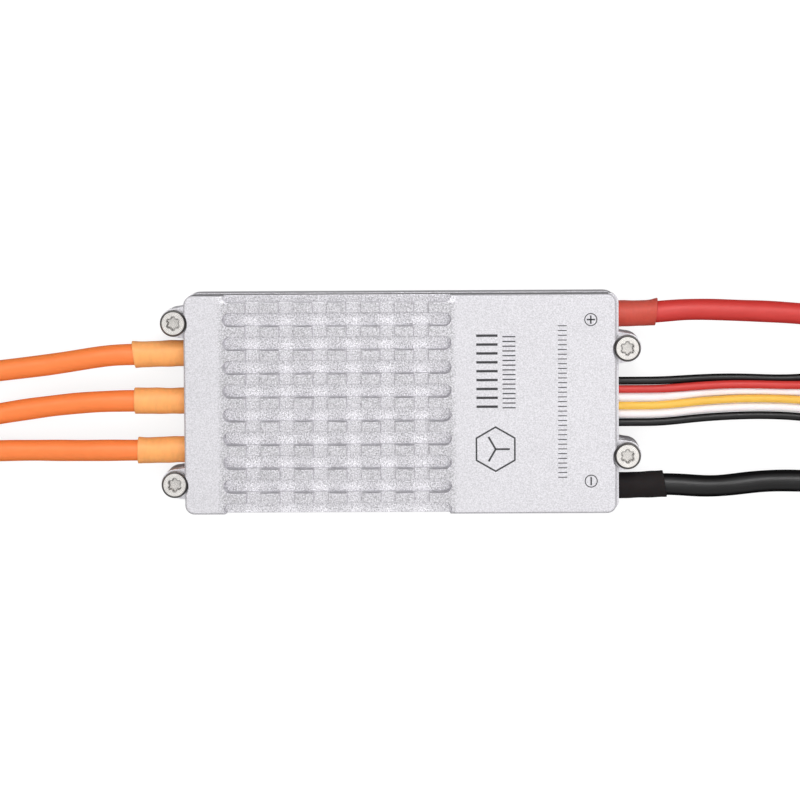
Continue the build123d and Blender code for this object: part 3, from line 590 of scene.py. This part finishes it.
BASE_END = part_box("base_shell")[1][0] - 3.75 * MM  # the end face, without the screw ears
DRIFTS = {  # (mm past the end face, mm along Y)
    "phase_a": [(0.0, 0.0), (8.5, -0.2), (20.0, 0.1), (40.0, 0.0)],
    "phase_b": [(0.0, 0.0), (40.0, 0.0)],
    "phase_c": [(0.0, 0.0), (8.0, -0.15), (22.0, 0.0)],
    "positive": [(0.0, 0.0), (6.4, 0.2), (9.5, 0.45), (20.0, 0.0)],
    "negative": [(0.0, 0.0), (7.8, 0.2), (26.0, 0.05), (40.0, 0.0)],
}
LEAD_STEP, LEAD_SIDES = 0.7 * MM, 48
SLEEVE_WALL, SLEEVE_EDGE = 0.34 * MM, 0.12 * MM
SLEEVE_STEP, SLEEVE_SIDES = 0.22 * MM, 64
LEAD_SEED, STRAND_SEED, SLEEVE_SEED = 10, 60, 20


def drift(points, name, soften):
    """Shift a centre line along Y the way the lead sits in its sleeve, as DRIFTS gives it."""
    past_wall, shift = zip(*DRIFTS[name])
    reach = (np.abs(points[:, 0]) - BASE_END) / MM
    points = points.copy()
    points[:, 1] += np.interp(reach, past_wall, shift) * MM
    if soften:
        points[:, 1:] = smoothed(points[:, 1:], 9)
    return points


def lead(name, outward, slot, index, swell_mm):
    """Insulation and strands of one heavy lead."""
    route, radius = centre_line(f"{name}_lead", outward)
    route = Route(drift(route.points, name, True))
    radius += swell_mm * MM
    skin = Skin(f"{name}_insulation", FINISHES[slot], slot)
    profile = rounded_tube(route.length, radius, BORE_RADIUS, CUT_EDGE, BORE_DEPTH, LEAD_STEP)
    skin.sweep(route, profile, LEAD_SIDES, silicone_ripple(LEAD_SEED + index))
    skin.build(f"{name}_lead")
    core, _ = centre_line(f"{name}_conductor", outward)
    lead_start = abs(route.points[0][0] - core.points[0][0])
    strands = Skin(f"{name}_strands", FINISHES["tinned_copper"], "tinned_copper")
    rng = np.random.default_rng(STRAND_SEED + index)
    strand_bundle(strands, core, 0.0, lead_start + BORE_DEPTH, rng)
    strand_bundle(strands, core, lead_start + route.length - BORE_DEPTH, core.length, rng)
    strands.build(f"{name}_conductor")


def shrunk_sleeve(name, outward, finish, index, pinch_mm, lean_mm, flare_mm):
    """Heat-shrink tube: waisted and puckered by the heat gun, cut askew, with a lifted lip on +Y."""
    low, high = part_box(f"{name}_sleeve")
    inner_x, outer_x = (low[0], high[0]) if outward > 0 else (high[0], low[0])
    y, z = (low[1] + high[1]) / 2, (low[2] + high[2]) / 2
    radius = (high[1] - low[1]) / 2
    line = np.array([(x, y, z) for x in np.linspace(inner_x, outer_x, 40)])
    route = Route(drift(line, name, False))
    bore = radius - SLEEVE_WALL
    rng = np.random.default_rng(SLEEVE_SEED + index)
    phase = rng.uniform(0, 2 * math.pi, 4)
    case_length = abs(BASE_END - abs(inner_x))
    length = route.length

    def ripple(s, angle):
        north = -outward * np.cos(angle)
        outside = np.clip((s - case_length) / (1.2 * MM), 0, 1)
        along = (s - case_length) / max(length - case_length, MM)
        waist = -pinch_mm * np.sin(np.clip(along, 0, 1) * math.pi) ** 2 * (1 + north) / 2
        flare = np.exp(-((length - s) / (0.9 * MM)) ** 2) * (0.03 + flare_mm * (1 + north) / 2)
        pucker = (0.018 * wave(s, 3.4, phase[0] + np.sin(angle + phase[1]))
                  + 0.028 * wave(s, 6.1, 2 * angle + phase[2])
                  + 0.020 * wave(s, 9.0, 3 * angle + phase[3]))
        lean = lean_mm * np.clip(along, 0, 1) ** 3 * north
        return outside * (waist + flare + pucker) * MM, lean * MM

    skin = Skin(f"{name}_shrink", FINISHES[finish], SLOT_OF[f"{name}_sleeve"])
    turn = [(length - SLEEVE_EDGE * (1 - math.sin(a)), radius - SLEEVE_EDGE * (1 - math.cos(a)))
            for a in np.linspace(0, math.pi / 2, 4)]
    stations = np.arange(0.05 * MM, length - SLEEVE_EDGE - 0.1 * MM, SLEEVE_STEP)
    profile = [(0.0, bore), (0.0, radius)] + [(s, radius) for s in stations] + turn
    profile += [(length, bore + 0.03 * MM), (length - 0.1 * MM, bore)]
    profile += [(s, bore) for s in np.arange(length - MM, 0.5 * MM, -MM)]
    skin.sweep(route, profile, SLEEVE_SIDES, ripple, ends="joined")
    skin.build(f"{name}_sleeve")


# Name, its way out along X, the lead's slot, the sleeve's finish, then in mm how much thicker the
# lead is than in the CAD, and how far its sleeve is waisted, cut askew and flared
HEAVY_LEADS = (
    ("phase_a", -1, "orange_silicone", "orange_heat_shrink", 0.05, 0.03, 0.25, 0.02),
    ("phase_b", -1, "orange_silicone", "orange_heat_shrink", 0.05, 0.03, 0.03, 0.02),
    ("phase_c", -1, "orange_silicone", "orange_heat_shrink", 0.05, 0.03, -0.08, 0.02),
    ("positive", 1, "red_silicone", "red_heat_shrink", 0.05, 0.16, 0.28, 0.18),
    ("negative", 1, "black_silicone", "black_heat_shrink", 0.09, 0.0, -0.30, 0.10),
)
for index, (name, outward, slot, finish, swell_mm, *sleeve_shape) in enumerate(HEAVY_LEADS):
    lead(name, outward, slot, index, swell_mm)
    shrunk_sleeve(name, outward, finish, index, *sleeve_shape)

SOFT = 0.1 * MM  # rounding of the signal wires' cut ends
WIRE_STEP, WIRE_SIDES = 0.5 * MM, 28
for node in sorted(n for n in NODES if n.startswith("signal_wire_") and n != "signal_wire_ends"):
    route, radius = centre_line(node, 1, 0.5)
    wire = Skin(f"{node}_skin", FINISHES[SLOT_OF[node]], SLOT_OF[node])
    end = route.length
    profile = [(0.0, radius - SOFT), (SOFT / 3, radius - SOFT / 3), (SOFT, radius)]
    profile += [(s, radius) for s in np.arange(0.4 * MM, end - 0.3 * MM, WIRE_STEP)]
    profile += [(end - SOFT, radius), (end, radius - SOFT)]
    wire.sweep(route, profile, WIRE_SIDES)
    wire.build(node)


# ---------------------------------------------------------------------------------------------
# Laser marks on the cover: two polarity signs, plain bars and a plain three-phase star
# ---------------------------------------------------------------------------------------------
MARK_HEIGHT = 0.012 * MM  # how far the marks stand proud, and how deep they go
MARK_FINISH = surface(
    "laser_mark", (0.045, 0.044, 0.048), 0.6, metallic=0.2, grain_mm=0.12, tone=0.25
).material


class Marks:
    """Flat prisms on the cover's top face, given in millimetres in the row frame."""

    def __init__(self, name):
        self.name, self.verts, self.faces = name, [], []

    def prism(self, outline):
        start, n = len(self.verts), len(outline)
        for z in (PLATE_TOP - MARK_HEIGHT, PLATE_TOP + MARK_HEIGHT):
            self.verts += [(x * MM, y * MM, z) for x, y in outline]
        self.faces.append(tuple(start + n + k for k in range(n)))
        self.faces.append(tuple(start + k for k in reversed(range(n))))
        for k in range(n):
            m = (k + 1) % n
            self.faces.append((start + k, start + m, start + n + m, start + n + k))

    def bar(self, x, y, length_x, length_y, turn=0.0):
        c, s = math.cos(turn), math.sin(turn)
        a, b = length_x / 2, length_y / 2
        corners = [(-a, -b), (a, -b), (a, b), (-a, b)]
        self.prism([(x + c * i - s * j, y + s * i + c * j) for i, j in corners])

    def loop(self, x, y, radius, width, sides, turn=0.0):
        for k in range(sides):
            a, b = (turn + 2 * math.pi * (k + d) / sides for d in (0, 1))
            rim = [(radius, a), (radius, b), (radius - width, b), (radius - width, a)]
            self.prism([(x + r * math.cos(t), y + r * math.sin(t)) for r, t in rim][::-1])

    def build(self):
        mesh = bpy.data.meshes.new(self.name)
        mesh.from_pydata(self.verts, [], self.faces)
        mesh.materials.append(MARK_FINISH)
        obj = bpy.data.objects.new(self.name, mesh)
        bpy.context.collection.objects.link(obj)
        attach(obj, "root")


SIGN_X, SIGN_RADIUS, SIGN_LINE, SIGN_SIDES = 32.2, 1.1, 0.17, 40
SIGN_REACH, SIGN_STROKE = 1.4, 0.26
for sign, y in (("plus", 14.22), ("minus", -13.08)):
    marks = Marks(f"polarity_{sign}")
    marks.loop(SIGN_X, y, SIGN_RADIUS, SIGN_LINE, SIGN_SIDES)
    marks.bar(SIGN_X, y, SIGN_STROKE, SIGN_REACH)
    if sign == "plus":
        marks.bar(SIGN_X, y, SIGN_REACH, SIGN_STROKE)
    marks.build()

# Rows of bars: how many, their X, the first one's Y, pitch, length and stroke
BAR_ROWS = (
    (9, 14.7, 11.6, 1.5, 3.6, 0.42),
    (16, 18.4, 11.4, 0.8, 2.2, 0.2),
    (33, 27.4, 13.2, 0.8, 1.5, 0.16),
)
bars = Marks("marking_bars")
for count, row_x, first_y, pitch, length, stroke in BAR_ROWS:
    for k in range(count):
        bars.bar(row_x, first_y - pitch * k, length, stroke)
bars.build()

STAR_X, STAR_Y, STAR_RADIUS, STAR_LINE, ARM_MIDDLE = 16.1, -7.6, 3.9, 0.32, 1.2
star = Marks("marking_star")
star.loop(STAR_X, STAR_Y, STAR_RADIUS, STAR_LINE, 6, math.pi / 6)
for k in range(3):
    turn = 2 * math.pi * k / 3
    arm_x, arm_y = STAR_X + ARM_MIDDLE * math.cos(turn), STAR_Y + ARM_MIDDLE * math.sin(turn)
    star.bar(arm_x, arm_y, 2 * ARM_MIDDLE, STAR_LINE, turn)
star.build()


# ---------------------------------------------------------------------------------------------
# Studio: a pale floor, a soft sky, softboxes above and to the north, and the camera above
# ---------------------------------------------------------------------------------------------
FLOOR_GLOW, FLOOR_COLOUR, FLOOR_SEEN_BY_OBJECT = 0.80, 0.28, 0.25


def floor_material():
    """Backlit white acrylic to the camera, with a faint shadow; a plain pale sheet to the object."""
    s = Shader("studio_floor")
    pale = s.mix(s.noise(400.0), (FLOOR_COLOUR,) * 3, (FLOOR_COLOUR * 1.02,) * 3)
    s.link(pale, s.bsdf.inputs["Base Color"])
    s.set(Roughness=0.95, Emission_Strength=FLOOR_GLOW, Specular_IOR_Level=0.0)
    s.bsdf.inputs["Emission Color"].default_value = (1.0, 1.0, 1.0, 1.0)
    sheet = s.tree.nodes.new("ShaderNodeBsdfDiffuse")
    sheet.inputs["Color"].default_value = (FLOOR_SEEN_BY_OBJECT,) * 3 + (1.0,)
    path = s.tree.nodes.new("ShaderNodeLightPath")
    mix = s.tree.nodes.new("ShaderNodeMixShader")
    s.link(path.outputs["Is Camera Ray"], mix.inputs[0])
    s.link(sheet.outputs[0], mix.inputs[1])
    s.link(s.bsdf.outputs[0], mix.inputs[2])
    s.link(mix.outputs[0], s.output.inputs[0])
    return s.material


FLOOR_DROP, FLOOR_SIDE = 0.1 * MM, 6.0
half = FLOOR_SIDE / 2
floor_mesh = bpy.data.meshes.new("studio_floor")
floor_mesh.from_pydata(
    [(x, y, -FLOOR_DROP) for x, y in ((-half, -half), (half, -half), (half, half), (-half, half))],
    [],
    [(0, 1, 2, 3)],
)
floor_mesh.materials.append(floor_material())
floor = bpy.data.objects.new("studio_floor", floor_mesh)
bpy.context.collection.objects.link(floor)

# The sky mirrored in the metal is bright near the horizon; as light it is even, and to the camera
# it is plain white.
SKY_CAMERA, SKY_HORIZON, SKY_UPPER, SKY_LIGHT = 1.0, 1.1, 0.50, 0.50
DOME_EDGE = (0.18, 0.40)  # heights, as sines, between which the horizon's glow fades
world = bpy.data.worlds.new("studio")
bpy.context.scene.world = world
world.use_nodes = True
sky = world.node_tree
sky.nodes.clear()
world_out = sky.nodes.new("ShaderNodeOutputWorld")
background = sky.nodes.new("ShaderNodeBackground")
sky.links.new(background.outputs[0], world_out.inputs[0])
direction = sky.nodes.new("ShaderNodeTexCoord")
split = sky.nodes.new("ShaderNodeSeparateXYZ")
sky.links.new(direction.outputs["Generated"], split.inputs[0])
dome = map_range(sky, split.outputs["Z"], *DOME_EDGE, SKY_HORIZON, SKY_UPPER)
seen = sky.nodes.new("ShaderNodeLightPath")
lit = map_range(sky, seen.outputs["Is Diffuse Ray"], 0.0, 1.0, dome, SKY_LIGHT)
strength = map_range(sky, seen.outputs["Is Camera Ray"], 0.0, 1.0, lit, SKY_CAMERA)
sky.links.new(strength, background.inputs["Strength"])


def softbox(name, place, aim, size, power, mirrored=True, lights=True):
    """Area light aimed at a point; it may be left out of reflections or of diffuse light."""
    data = bpy.data.lights.new(name, "AREA")
    data.shape, data.energy = "RECTANGLE", power
    data.size, data.size_y = size
    obj = bpy.data.objects.new(name, data)
    obj.location = place
    obj.rotation_euler = (Vector(aim) - Vector(place)).to_track_quat("-Z", "Y").to_euler()
    obj.visible_glossy = mirrored
    obj.visible_diffuse = lights
    bpy.context.collection.objects.link(obj)


softbox("key_from_north", (0.10, 0.68, 1.00), (0, 0, 0), (0.36, 0.36), 4.5, mirrored=False)
softbox("sheen_strip", (0.05, 0.68, 1.00), (0, 0, 0), (2.40, 0.36), 14.0, lights=False)
softbox("fill_above", (0.10, -0.10, 1.40), (0, 0, 0), (1.10, 1.10), 12.0, mirrored=False)
softbox("overhead", (0.10, -0.10, 1.20), (0, 0, 0), (0.54, 0.54), 0.8)

# The camera stands high above, a little to the +Y and +X side, so the +Y walls just show.
CAMERA_PLACE = Vector((13.9, 44.0, 616.0)) * MM
CAMERA_AIM = Vector((0.0, 0.8, 16.0)) * MM
FRAME_WIDTH_AT_AIM, SENSOR_WIDTH = 135.0 * MM, 36.0
CAMERA_ROLL = math.radians(-0.36)
camera_data = bpy.data.cameras.new("camera")
camera_data.sensor_width = SENSOR_WIDTH
camera_data.lens = SENSOR_WIDTH * (CAMERA_PLACE - CAMERA_AIM).length / FRAME_WIDTH_AT_AIM
camera = bpy.data.objects.new("camera", camera_data)
gaze = (CAMERA_AIM - CAMERA_PLACE).normalized()
level_right = gaze.cross(Vector((0, 1, 0))).normalized()
right = level_right * math.cos(CAMERA_ROLL) + level_right.cross(gaze) * math.sin(CAMERA_ROLL)
axes = Matrix((right, right.cross(gaze), -gaze)).transposed()
camera.matrix_world = Matrix.LocRotScale(CAMERA_PLACE, axes.to_quaternion(), None)
bpy.context.collection.objects.link(camera)
bpy.context.scene.camera = camera
bpy.context.scene.view_settings.view_transform = "Standard"
bpy.context.scene.view_settings.look = "None"
